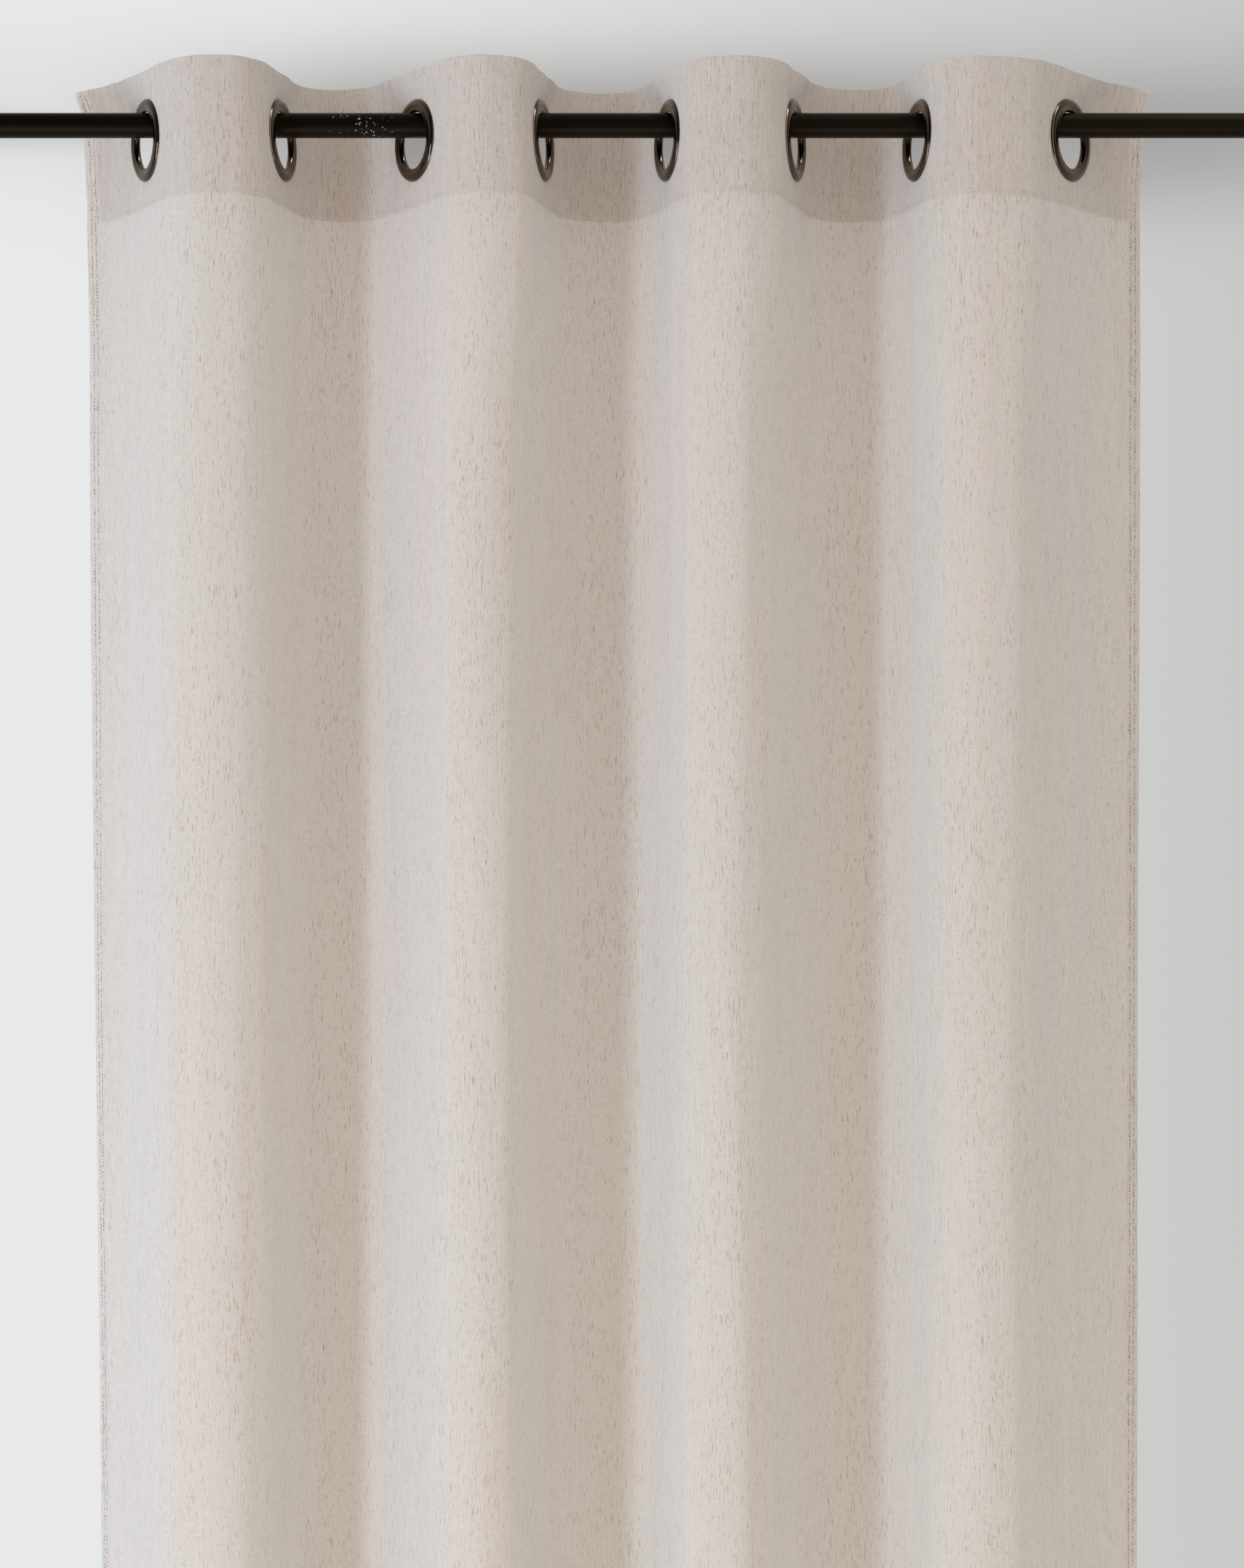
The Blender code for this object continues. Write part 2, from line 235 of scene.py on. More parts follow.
def ripple(s, drop):
    # sum of sine waves that run down the cloth, each bent a little by a slower one, calm at the eyelets
    total = 0 * s
    for size, across, down, phase in unevenness["ripples"]:
        sway = unevenness["sway"] * np.sin(2 * math.pi * drop / down + 2 * phase)
        total = total + size * np.sin(2 * math.pi * s / across + phase + sway)
    nearest = np.abs(s[..., None] - eyeletS).min(-1)
    away = np.hypot(nearest, drop - curtain["eyeletDrop"]) / unevenness["calmReach"]
    return total * (1 - np.exp(-away ** 4))


def onCloth(s, drop, lift):
    # world points of places on the cloth: the fold's section at that drop, moved by lift and ripple
    # along the cloth's normal (sin a, -cos a), with the top edge a little uneven
    s, drop, lift = np.broadcast_arrays(s, drop, lift)
    angle = fromTable(tableAngle, s, drop)
    lift = lift + ripple(s, drop)
    x = fromTable(tableX, s, drop) + lift * np.sin(angle)
    y = fromTable(tableY, s, drop) - lift * np.cos(angle)
    rise = np.interp(s, eyeletS, eyelets["topRise"])
    for size, rate, phase in unevenness["topWaves"]:
        rise = rise + size * np.sin(s * rate + phase)
    nearTop = np.clip(1 - drop / curtain["topStrip"], 0, 1)
    return np.stack([x, y, curtain["topZ"] - drop + nearTop * rise], axis=-1)


# Small makers for meshes and materials

def meshObject(name, points, faces, uv=None, smooth=True):
    # an object at the origin from an array of points and faces of any number of sides
    mesh = bpy.data.meshes.new(name)
    mesh.from_pydata(points.tolist(), [], faces)
    mesh.polygons.foreach_set("use_smooth", np.full(len(faces), smooth))
    if uv is not None:
        layer = mesh.uv_layers.new(name="clothUV")
        layer.data.foreach_set("uv", uv[np.concatenate(faces)].ravel())
    mesh.update()
    obj = bpy.data.objects.new(name, mesh)
    bpy.context.scene.collection.objects.link(obj)
    return obj


def usedOnly(faces, *arrays):
    # leaves out the points that no face uses: the faces with their new numbers, then each array cut down
    used, index = np.unique(faces, return_inverse=True)
    return (index.reshape(faces.shape), *(array.reshape(-1, array.shape[-1])[used] for array in arrays))


def gridFaces(rows, cols, wrapRows=False, wrapCols=False):
    # four-sided faces of a grid of points, joined up round either way where it wraps
    index = np.arange(rows * cols).reshape(rows, cols)
    down = np.roll(index, -1, axis=0)
    right = np.roll(index, -1, axis=1)
    both = np.roll(down, -1, axis=1)
    faces = np.stack([index, down, both, right], axis=-1)
    return faces[: None if wrapRows else -1, : None if wrapCols else -1]


def linear(code):
    # sRGB hex to linear red, green, blue and 1
    channels = np.array([int(code[i:i + 2], 16) for i in (1, 3, 5)]) / 255
    bent = np.where(channels <= 0.04045, channels / 12.92, ((channels + 0.055) / 1.055) ** 2.4)
    return (*bent.tolist(), 1.0)


def addNode(tree, kind, settings=None, links=None):
    # one node: settings are its own fields by name or its sockets by label or number, links feed sockets
    node = tree.nodes.new(kind)
    for key, value in (settings or {}).items():
        if isinstance(key, str) and hasattr(node, key):
            setattr(node, key, value)
        else:
            node.inputs[key].default_value = value
    for key, source in (links or {}).items():
        tree.links.new(source, node.inputs[key])
    return node


def newMaterial(name):
    # an empty material and its node tree
    material = bpy.data.materials.new(name)
    material.use_nodes = True
    material.node_tree.nodes.clear()
    return material, material.node_tree


# Materials

linen = {
    "light": "#e0d0c0",  # between slubs
    "dark": "#d6c5b1",  # where the yarns lie closer
    "toneRange": (0.38, 0.62),  # the noise at which the cloth is darkest and lightest
    "weftShare": 0.35,
    "slub": "#b27f42",  # thick raw fibres, browner than they look because the sheen lies over them
    "slubThrough": "#64360e",
    "warm": "#e0c3ad",  # wide bands with a warmer tint
    "warmRange": (0.45, 0.65),
    "warmShare": 0.35,
    # painted light: the side hems get a paler colour, which offsets the shade that their three layers
    # cast on each other
    "hemPaintedLight": "#f7ebe0",
    "hemMm": 13.0,
    "hemFadeMm": 0.8,
    "hemPaintedLightShare": 0.6,
    "yarnMm": 1.0,  # real yarns lie 0.5 mm apart, drawn twice as coarse so that they show
    "yarnRunMm": 45.0,
    "weftMm": 0.9,
    "weftRunMm": 12.0,
    "slubMm": 0.60,
    "slubRunMm": 9.0,
    "slubRange": (0.715, 0.765),  # the noise at which a slub starts, and is at its full colour
    "speckMm": 0.65,
    "speckRunMm": 2.6,
    "speckRange": (0.65, 0.73),
    "speckShare": 0.9,
    "crowdMm": 30.0,
    "crowdRunMm": 260.0,
    "crowding": 0.16,
    "bandMm": 60.0,
    "bandRunMm": 600.0,
    "relief": 0.5,
    "reliefMm": 0.4,
    "slubRelief": 0.4,  # height of slubs and specks as shares of the yarns' own
    "speckRelief": 0.5,
    "glow": 0.25,  # share of the light that the threads pass on through the cloth
    "through": 0.07,  # share of open gaps between the yarns
    "throughSpread": 0.5,  # by this share more of them where the yarns lie apart, and fewer where close
}


def streaks(tree, cloth, acrossMm, downMm, seed, detail=1.0):
    # noise stretched along the yarns: one cell is acrossMm wide and downMm long
    scale, start = (1000 / acrossMm, 1000 / downMm, 1), (seed, 3 * seed, seed)
    place = addNode(
        tree, "ShaderNodeMapping", {"Scale": scale, "Location": start}, {"Vector": cloth})
    noise = addNode(
        tree, "ShaderNodeTexNoise", {"Scale": 1.0, "Detail": detail, "Roughness": 0.6},
        {"Vector": place.outputs["Vector"]})
    return noise.outputs["Fac"]


def hemPaintedLightShare(tree, cloth):
    # the side hems' painted light: the share of their paler colour rises where the flat width is further
    # from the middle than the hem's start
    parts = addNode(tree, "ShaderNodeSeparateXYZ", {}, {0: cloth})
    half = curtain["width"] / 2
    fromMiddle = addNode(
        tree, "ShaderNodeMath", {"operation": "SUBTRACT", 1: half}, {0: parts.outputs["X"]})
    distance = addNode(tree, "ShaderNodeMath", {"operation": "ABSOLUTE"}, {0: fromMiddle.outputs[0]})
    start = half - linen["hemMm"] / 1000
    full = start + linen["hemFadeMm"] / 1000
    share = addNode(
        tree, "ShaderNodeMapRange", {1: start, 2: full, 4: linen["hemPaintedLightShare"]}, {0: distance.outputs[0]})
    return share.outputs[0]


def linenVoile(name, seed, paintedShadeTint):
    # polyester voile woven to look like linen: a matt oatmeal cloth with upright slubs, through which
    # light glows. The eye sees fine upright streaks, brown dashes and a pale even sheen on the lit side
    material, tree = newMaterial(name)
    cloth = addNode(tree, "ShaderNodeUVMap", {"uv_map": "clothUV"}).outputs["UV"]
    yarn = streaks(tree, cloth, linen["yarnMm"], linen["yarnRunMm"], seed + 1.7)
    weft = streaks(tree, cloth, linen["weftRunMm"], linen["weftMm"], seed + 5.2)
    raw = streaks(tree, cloth, linen["slubMm"], linen["slubRunMm"], seed + 9.4)
    crowd = streaks(tree, cloth, linen["crowdMm"], linen["crowdRunMm"], seed + 14.0, 3.0)
    fine = streaks(tree, cloth, linen["speckMm"], linen["speckRunMm"], seed + 21.0)
    band = streaks(tree, cloth, linen["bandMm"], linen["bandRunMm"], seed + 33.0, 2.0)

    # the weave is yarns with a little weft, and slubs come more often where the yarns crowd
    weave = addNode(tree, "ShaderNodeMix", {"Factor": linen["weftShare"]}, {"A": yarn, "B": weft})
    likely = addNode(
        tree, "ShaderNodeMath", {"operation": "MULTIPLY_ADD", 1: linen["crowding"]}, {0: crowd, 2: raw})
    # each share rises from none to full over its own range of its noise
    shares = []
    for source, limits, full in (
            (weave.outputs[0], linen["toneRange"], 1.0),
            (likely.outputs[0], linen["slubRange"], 1.0),
            (fine, linen["speckRange"], linen["speckShare"]),
            (band, linen["warmRange"], linen["warmShare"])):
        share = addNode(
            tree, "ShaderNodeMapRange", {1: limits[0], 2: limits[1], 4: full}, {0: source})
        shares.append(share.outputs[0])
    tone, slub, speck, warm = shares
    fibre = addNode(tree, "ShaderNodeMath", {"operation": "MAXIMUM"}, {0: slub, 1: speck}).outputs[0]

    colour = addNode(
        tree, "ShaderNodeMix",
        {"data_type": "RGBA", 6: linear(linen["dark"]), 7: linear(linen["light"])},
        {0: tone}).outputs[2]
    # warm bands, and painted light on the side hems: their paler colour stands in for light, to offset
    # the shade that their three layers cast on each other
    for share, shade in ((warm, linen["warm"]), (hemPaintedLightShare(tree, cloth), linen["hemPaintedLight"])):
        colour = addNode(
            tree, "ShaderNodeMix", {"data_type": "RGBA", 7: linear(shade)},
            {0: share, 6: colour}).outputs[2]
    # painted shade: the colour is multiplied by a tint, none on the panel, and browner on the facing for
    # the heading's shade
    colour = addNode(
        tree, "ShaderNodeMix", {"data_type": "RGBA", "blend_type": "MULTIPLY", 0: 1.0, 7: linear(paintedShadeTint)},
        {6: colour}).outputs[2]
    # raw fibres look brown in the light that the cloth throws back, and dark in the light through it
    thrown, passed = [
        addNode(
            tree, "ShaderNodeMix", {"data_type": "RGBA", 7: linear(linen[shade])},
            {0: fibre, 6: colour}).outputs[2]
        for shade in ("slub", "slubThrough")]

    # yarns, slubs and specks stand up from the cloth
    raised = addNode(
        tree, "ShaderNodeMath", {"operation": "MULTIPLY_ADD", 1: linen["slubRelief"]}, {0: slub, 2: tone})
    height = addNode(
        tree, "ShaderNodeMath", {"operation": "MULTIPLY_ADD", 1: linen["speckRelief"]},
        {0: fine, 2: raised.outputs[0]})
    bump = addNode(
        tree, "ShaderNodeBump", {"Strength": linen["relief"], "Distance": linen["reliefMm"] / 1000},
        {"Height": height.outputs[0]})
    normal = bump.outputs["Normal"]
    face = addNode(
        tree, "ShaderNodeBsdfPrincipled",
        {"Roughness": 0.9, "Diffuse Roughness": 1.0, "IOR": 1.45, "Specular IOR Level": 0.2,
         "Sheen Weight": 1.0, "Sheen Roughness": 1.0, "Sheen Tint": (1, 1, 1, 1)},
        {"Base Color": thrown, "Normal": normal})
    glow = addNode(tree, "ShaderNodeBsdfTranslucent", {}, {"Color": passed, "Normal": normal})
    body = addNode(
        tree, "ShaderNodeMixShader", {0: linen["glow"]}, {1: face.outputs[0], 2: glow.outputs[0]})
    # the gaps between the yarns let the room behind show through
    gap = addNode(tree, "ShaderNodeBsdfTransparent")
    most = linen["through"] * (1 + linen["throughSpread"])
    least = linen["through"] * (1 - linen["throughSpread"])
    openShare = addNode(tree, "ShaderNodeMapRange", {3: most, 4: least}, {0: tone})
    sheer = addNode(
        tree, "ShaderNodeMixShader", {}, {0: openShare.outputs[0], 1: body.outputs[0], 2: gap.outputs[0]})
    addNode(tree, "ShaderNodeOutputMaterial", {}, {"Surface": sheer.outputs[0]})
    return material


plating = {
    "light": "#6f6154",
    "dark": "#5c4e42",
    "smearMm": 11.0,  # size of the handling marks
    "smearRange": (0.35, 0.70),  # the noise at which the metal is still clean, and fully smeared
    "roughness": (0.10, 0.22),  # from clean to smeared
}


def blackNickel():
    # pressed steel, polished and plated with black nickel: dark warm mirror, with fine handling marks
    material, tree = newMaterial("black nickel plated steel")
    place = addNode(tree, "ShaderNodeTexCoord")
    smear = addNode(
        tree, "ShaderNodeTexNoise",
        {"Scale": 1000 / plating["smearMm"], "Detail": 3.0, "Roughness": 0.6},
        {"Vector": place.outputs["Object"]})
    (low, high), (clean, smeared) = plating["smearRange"], plating["roughness"]
    rough = addNode(
        tree, "ShaderNodeMapRange", {1: low, 2: high, 3: clean, 4: smeared}, {0: smear.outputs["Fac"]})
    shade = addNode(
        tree, "ShaderNodeMix",
        {"data_type": "RGBA", 6: linear(plating["light"]), 7: linear(plating["dark"])},
        {0: smear.outputs["Fac"]})
    metal = addNode(
        tree, "ShaderNodeBsdfPrincipled", {"Metallic": 1.0},
        {"Base Color": shade.outputs[2], "Roughness": rough.outputs[0]})
    addNode(tree, "ShaderNodeOutputMaterial", {}, {"Surface": metal.outputs[0]})
    return material


coat = {
    "black": "#070503",
    "bare": "#d8d2c8",
    "glint": "#ffe0b8",  # the warm tint of its highlight
    "peelMm": 1.1,
    "peelDepthMm": 0.2,
    "chipMm": 3.0,
    "chipRange": (0.66, 0.69),  # only the peaks of the noise are chips
    "scrapedAt": -0.196,  # middle of the scraped stretch along the rod, and how far it reaches
    "scrapedReach": 0.030,
    "scrapedCore": 0.6,  # share of that reach in which the chips are at their barest
}


def satinBlack():
    # steel tube with a satin black powder coat: near black with a brown cast, one soft long highlight,
    # a faint orange peel, and between two eyelets small chips where they scraped it
    material, tree = newMaterial("satin black powder coated steel")
    place = addNode(tree, "ShaderNodeTexCoord")
    peel = addNode(
        tree, "ShaderNodeTexNoise", {"Scale": 1000 / coat["peelMm"], "Detail": 2.0},
        {"Vector": place.outputs["Object"]})
    bump = addNode(
        tree, "ShaderNodeBump", {"Strength": 0.2, "Distance": coat["peelDepthMm"] / 1000},
        {"Height": peel.outputs["Fac"]})
    # chips: the peaks of a noise, within the stretch that is scraped
    chips = addNode(
        tree, "ShaderNodeTexNoise", {"Scale": 1000 / coat["chipMm"], "Detail": 2.0, "Roughness": 0.7},
        {"Vector": place.outputs["Object"]})
    low, high = coat["chipRange"]
    chip = addNode(tree, "ShaderNodeMapRange", {1: low, 2: high}, {0: chips.outputs["Fac"]})
    parts = addNode(tree, "ShaderNodeSeparateXYZ", {}, {0: place.outputs["Object"]})
    fromMiddle = addNode(
        tree, "ShaderNodeMath", {"operation": "SUBTRACT", 1: coat["scrapedAt"]}, {0: parts.outputs["X"]})
    distance = addNode(tree, "ShaderNodeMath", {"operation": "ABSOLUTE"}, {0: fromMiddle.outputs[0]})
    reach = coat["scrapedReach"]
    scraped = addNode(
        tree, "ShaderNodeMapRange", {1: reach, 2: coat["scrapedCore"] * reach}, {0: distance.outputs[0]})
    worn = addNode(
        tree, "ShaderNodeMath", {"operation": "MULTIPLY"}, {0: chip.outputs[0], 1: scraped.outputs[0]})
    shade = addNode(
        tree, "ShaderNodeMix", {"data_type": "RGBA", 6: linear(coat["black"]), 7: linear(coat["bare"])},
        {0: worn.outputs[0]})
    finish = addNode(
        tree, "ShaderNodeBsdfPrincipled",
        {"Roughness": 0.38, "IOR": 1.5, "Specular IOR Level": 0.16,
         "Specular Tint": linear(coat["glint"])},
        {"Base Color": shade.outputs[2], "Normal": bump.outputs["Normal"]})
    addNode(tree, "ShaderNodeOutputMaterial", {}, {"Surface": finish.outputs[0]})
    return material


thread = {
    "fleckMm": 2.4,
    "fleckRange": (0.46, 0.56),
    "brown": ("#9a6a50", "#ead9cb"),  # its darker and lighter flecks
    "pale": ("#dccfc4", "#f4ece6"),
}


def sewingThread(name, dark, light):
    # spun polyester sewing thread: a little shinier than the cloth, and flecked from light to dark
    material, tree = newMaterial(name)
    place = addNode(tree, "ShaderNodeTexCoord")
    fleck = addNode(
        tree, "ShaderNodeTexNoise", {"Scale": 1000 / thread["fleckMm"], "Detail": 1.0},
        {"Vector": place.outputs["Object"]})
    low, high = thread["fleckRange"]
    share = addNode(tree, "ShaderNodeMapRange", {1: low, 2: high}, {0: fleck.outputs["Fac"]})
    shade = addNode(
        tree, "ShaderNodeMix", {"data_type": "RGBA", 6: linear(dark), 7: linear(light)},
        {0: share.outputs[0]})
    spun = addNode(
        tree, "ShaderNodeBsdfPrincipled", {"Roughness": 0.6, "Sheen Weight": 0.2},
        {"Base Color": shade.outputs[2]})
    addNode(tree, "ShaderNodeOutputMaterial", {}, {"Surface": spun.outputs[0]})
    return material


voile = linenVoile("linen-look polyester voile", 0.0, "#ffffff")
# the facing's browner tint is painted shade, standing in for the darker light in the heading's two layers
facingVoile = linenVoile("linen-look voile, turned over", 4.5, "#eedac0")
nickel = blackNickel()
coating = satinBlack()
brownThread = sewingThread("brown spun polyester thread", *thread["brown"])
paleThread = sewingThread("pale spun polyester thread", *thread["pale"])


# The panel, with side and bottom hems turned twice

panel = {
    "step": 0.005,  # an eyelet's centre is always on a column, half a step off the sheet's edge
    "rowsUp": 10,  # rows of squares above and below the eyelets' centres, before the taller ones
    "rowsDown": 15,
    "tallStep": 0.016,
    "sideHem": 0.013,
    "sideTuck": 0.0015,  # how far the raw end stays off the hem's outer fold
    "bottomHem": 0.050,
    "bottomTuck": 0.004,
    "bottomBulk": 2.2,  # the bottom hem's layers lie this much further apart than the side hems'
    "holeHalf": 0.025,
    "holeRadius": 0.0249,
    "holeBlend": 0.045,
    "foldRadius": 0.0004,
}


def roundHoles(s, drop):
    # draws the grid round each eyelet: the square 25 mm out becomes a circle, easing off to 45 mm out
    for centre in eyeletS:
        u, v = s - centre, drop - curtain["eyeletDrop"]
        square = np.maximum(np.abs(u), np.abs(v))
        blend = np.clip((square - panel["holeHalf"]) / (panel["holeBlend"] - panel["holeHalf"]), 0, 1)
        toCircle = panel["holeRadius"] / panel["holeHalf"] * square / np.maximum(np.hypot(u, v), 1e-9)
        scale = (1 - blend) * toCircle + blend
        s, drop = centre + u * scale, curtain["eyeletDrop"] + v * scale
    return s, drop


def holeFaces(faces, s, drop):
    # keeps the faces whose middle lies outside every eyelet's square
    middleS, middleDrop = s.ravel()[faces].mean(-1), drop.ravel()[faces].mean(-1)
    across = np.abs(middleS[:, None] - eyeletS).min(-1)
    down = np.abs(middleDrop - curtain["eyeletDrop"])
    return faces[np.maximum(across, down) > panel["holeHalf"]]


def turnedHem(depth, tuck):
    # a hem turned twice, as stations from its raw end to the face: distance in from the edge, lift,
    # and distance along the cloth; both folds are half circles, the inner one half as wide
    r = panel["foldRadius"]
    turn = np.linspace(0, math.pi, 5)
    tucked = np.stack([np.linspace(tuck, depth - r, 4), np.full(4, 0.0)])
    inner = np.stack([depth - r + 0.5 * r * np.sin(turn), -0.5 * r + 0.5 * r * np.cos(turn)])
    back = np.stack([np.linspace(depth - r, r, 5), np.full(5, -r)])
    outer = np.stack([r - r * np.sin(turn), -r * np.cos(turn)])
    path = np.concatenate([tucked, inner[:, 1:], back[:, 1:], outer[:, 1:]], axis=1)
    run = np.concatenate([[0], np.cumsum(np.hypot(*np.diff(path, axis=1)))])
    return path[0], path[1], run[-1] - run


def buildPanel():
    # a grid of stations across by rows down, with the turned hems' stations at its sides and bottom:
    # its squares round the eyelets become holes, and it is laid on the folds
    width, drop, step = curtain["width"], curtain["drop"], panel["step"]
    inset, lift, run = turnedHem(panel["sideHem"], panel["sideTuck"])
    face = np.arange(step / 2, width, step)
    s = np.concatenate([inset, face, width - inset[::-1]])
    liftS = np.concatenate([lift, np.full(len(face), panel["foldRadius"]), lift[::-1]])
    u = np.concatenate([-run, face, width + run[::-1]])
    inset, liftHem, run = turnedHem(panel["bottomHem"], panel["bottomTuck"])
    headRows = curtain["eyeletDrop"] + step * np.arange(-panel["rowsUp"], panel["rowsDown"] + 1)
    tall = panel["tallStep"]
    lowRows = np.arange(headRows[-1] + 0.75 * tall, drop - 0.5 * tall, tall)
    down = np.concatenate([[0], headRows, lowRows, drop - inset[::-1]])
    plainRows = 1 + len(headRows) + len(lowRows)
    bulk = panel["bottomBulk"] * (liftHem[::-1] - panel["foldRadius"])
    liftDown = np.concatenate([np.zeros(plainRows), bulk])
    side = np.concatenate([np.ones(plainRows), liftHem[::-1] / panel["foldRadius"]])
    v = np.concatenate([[0], headRows, lowRows, drop + run[::-1]])
    gridS, gridDrop = np.meshgrid(s, down)
    faces = gridFaces(*gridS.shape).reshape(-1, 4)
    faces = holeFaces(faces, gridS, gridDrop)
    warpedS, warpedDrop = roundHoles(gridS, gridDrop)
    points = onCloth(warpedS, warpedDrop, liftS * side[:, None] + liftDown[:, None])
    gridU, gridV = np.meshgrid(u, v)
    uv = np.stack([gridU + warpedS - gridS, gridV + warpedDrop - gridDrop], axis=-1)
    faces, points, uv = usedOnly(faces, points, uv)
    obj = meshObject("voilePanel", points, faces.tolist(), uv)
    obj.data.materials.append(voile)
    return obj


voilePanel = buildPanel()
print("panel:", len(voilePanel.data.polygons), "faces")


# The facing, turned over at the top edge and lying behind the panel

facing = {
    "hemGap": 0.0008,  # between its raw sides and the panel's side hems
    "rowsDown": 10,
    "leastStep": 0.001,
}


def buildFacing():
    # the same grid as the panel's, between the side hems: down from a half circle over the top edge
    width, step = curtain["width"], panel["step"]
    side = panel["sideHem"] + facing["hemGap"]
    inner = np.arange(step / 2, width, step)
    least = side + facing["leastStep"]
    inner = inner[(inner > least) & (inner < width - least)]
    s = np.concatenate([[side], inner, [width - side]])
    r = panel["foldRadius"]
    turn = np.linspace(0, math.pi, 6)
    headRows = curtain["eyeletDrop"] + step * np.arange(-panel["rowsUp"], facing["rowsDown"] + 1)
    down = np.concatenate([-r * np.sin(turn), headRows, [curtain["facingDepth"]]])
    lift = np.concatenate([r * np.cos(turn), np.full(len(headRows) + 1, -r)])
    gridS, gridDrop = np.meshgrid(s, down)
    faces = gridFaces(*gridS.shape).reshape(-1, 4)
    faces = holeFaces(faces, gridS, gridDrop)
    warpedS, warpedDrop = roundHoles(gridS, gridDrop)
    points = onCloth(warpedS, np.maximum(warpedDrop, 0), lift[:, None])
    points[..., 2] -= np.minimum(warpedDrop, 0)
    uv = np.stack([warpedS, warpedDrop], axis=-1)
    faces, points, uv = usedOnly(faces[:, ::-1], points, uv)
    obj = meshObject("facingStrip", points, faces.tolist(), uv)
    obj.data.materials.append(facingVoile)
    return obj


facingStrip = buildFacing()
print("facing:", len(facingStrip.data.polygons), "faces")


# The eyelets, each a front ring with a rolled lip and a back washer

eyelet = {
    "radius": 0.033,
    "bore": 0.0225,
    "steps": 96,
    "rimHeight": 0.0006,  # the flange's edge lies this far off the middle of the cloth
    "crown": 0.0034,
    "flatness": (2.6, 2.2),  # powers of the oval across and up: 2 and 2 would be a true one
    "grooveDepth": 0.0006,
    "groovePlace": 0.30,  # its share of the way from the bore to the flange's edge
    "grooveReach": 0.07,
    "stations": 25,
    "edgeInset": 0.0010,  # where the flange's underside starts and ends, off its edge and off the bore
    "lipInset": 0.0022,
}


def eyeletProfile():
    # closed section, radius and height: from the bore over the front flange, a flattened oval with a
    # shallow groove behind its lip, back in over the cloth, and the same again below
    bore, radius, rim = eyelet["bore"], eyelet["radius"], eyelet["rimHeight"]
    acrossPower, upPower = eyelet["flatness"]
    across = (1 - np.cos(np.linspace(0, math.pi, eyelet["stations"]))) / 2
    oval = eyelet["crown"] * (1 - np.abs(2 * across - 1) ** acrossPower) ** (1 / upPower)
    fromGroove = (across - eyelet["groovePlace"]) / eyelet["grooveReach"]
    height = oval - eyelet["grooveDepth"] * np.exp(-fromGroove ** 2)
    outer = len(height) // 2
    height[outer:] = np.maximum(height[outer:], rim)
    flange = np.stack([bore + (radius - bore) * across, height])
    under = np.array([[radius - eyelet["edgeInset"], bore + eyelet["lipInset"]], [rim, rim]])
    half = np.concatenate([flange, under], axis=1)
    mirrored = half[:, :0:-1] * np.array([[1], [-1]])
    return np.concatenate([half, mirrored], axis=1)


def eyeletAxes(i):
    # along the cloth, up in the cloth and towards the room, from the cloth's angle and lean there
    angle = rodAngles(np.zeros(1))[0, i]
    along = np.array([math.cos(angle), math.sin(angle), 0])
    out = np.cross(along, [-eyelets["lean"][i], 0, 1])
    out /= np.linalg.norm(out)
    return np.stack([along, np.cross(out, along), out])


def buildEyelet(i):
    # the section turned about the eyelet's axis
    radius, height = eyeletProfile()
    turn = 2 * math.pi * np.arange(eyelet["steps"]) / eyelet["steps"]
    radius, height = radius[:, None], height[:, None]
    local = np.stack([radius * np.cos(turn), radius * np.sin(turn), height + 0 * turn], axis=-1)
    points = local @ eyeletAxes(i) + np.array([eyelets["x"][i], 0, eyeletZ])
    faces = gridFaces(*local.shape[:2], True, True).reshape(-1, 4)
    obj = meshObject(f"eyeletRing_{i + 1}", points.reshape(-1, 3), faces.tolist())
    obj.data.materials.append(nickel)
    return obj


rings = [buildEyelet(i) for i in range(eyeletCount)]
print("eyelets:", len(rings), "rings of", len(rings[0].data.polygons), "faces")


# The rod

rod = {
    "radius": 0.010,
    "length": 1.20,
    "bevel": 0.0006,
    "steps": 96,
    "lengthSteps": 12,
}


def buildRod():
    # a round bar along X: rings from one bevelled end to the other, and a flat disc over each end
    half, bevel, radius = rod["length"] / 2, rod["bevel"], rod["radius"]
    turn = np.linspace(0, math.pi / 2, 5)
    endX = half - bevel + bevel * np.cos(turn)
    endR = radius - bevel + bevel * np.sin(turn)
    middleX = np.linspace(half - bevel, bevel - half, rod["lengthSteps"] + 1)[1:-1]
    x = np.concatenate([endX, middleX, -endX[::-1]])
    r = np.concatenate([endR, np.full(len(middleX), radius), endR[::-1]])
    around = 2 * math.pi * np.arange(rod["steps"]) / rod["steps"]
    points = np.stack([
        x[:, None] + 0 * around, r[:, None] * np.cos(around), r[:, None] * np.sin(around)], axis=-1)
    poles = np.array([(half, 0, 0), (-half, 0, 0)])
    points = np.concatenate([points.reshape(-1, 3), poles])
    faces = gridFaces(len(x), len(around), False, True).reshape(-1, 4).tolist()
    rim = np.arange(len(around))
    ends = [
        np.stack([np.roll(rim, 1), rim, 0 * rim + len(points) - 2], axis=-1),
        np.stack([rim, np.roll(rim, 1), 0 * rim + len(points) - 1], axis=-1),
    ]
    ends[1][:, :2] += len(points) - 2 - len(around)
    obj = meshObject("curtainRod", points, faces + ends[0].tolist() + ends[1].tolist())
    obj.data.materials.append(coating)
    return obj


curtainRod = buildRod()
print("rod:", len(curtainRod.data.polygons), "faces")


# Stitching

stitch = {
    "pitch": 0.0028,
    "length": 0.0021,
    "thread": 0.00028,  # radius; real thread is half this thick, drawn coarser so that it shows
    "arch": 0.00005,  # its ends lie this far off the cloth, and its middle a thread's radius more
    "ends": (0.45, 0.95, 1.0, 0.95, 0.45),  # its thickness from end to end
    "sideRows": (0.0060, 0.0108),
    "stagger": 0.4,  # by this share of the pitch the second row starts lower
    "topInset": 0.004,
    "bottomInset": 0.006,
    "sideInset": 0.012,
    "hemInset": 0.003,  # rows across lie this far inside the facing's and the hem's edge
}


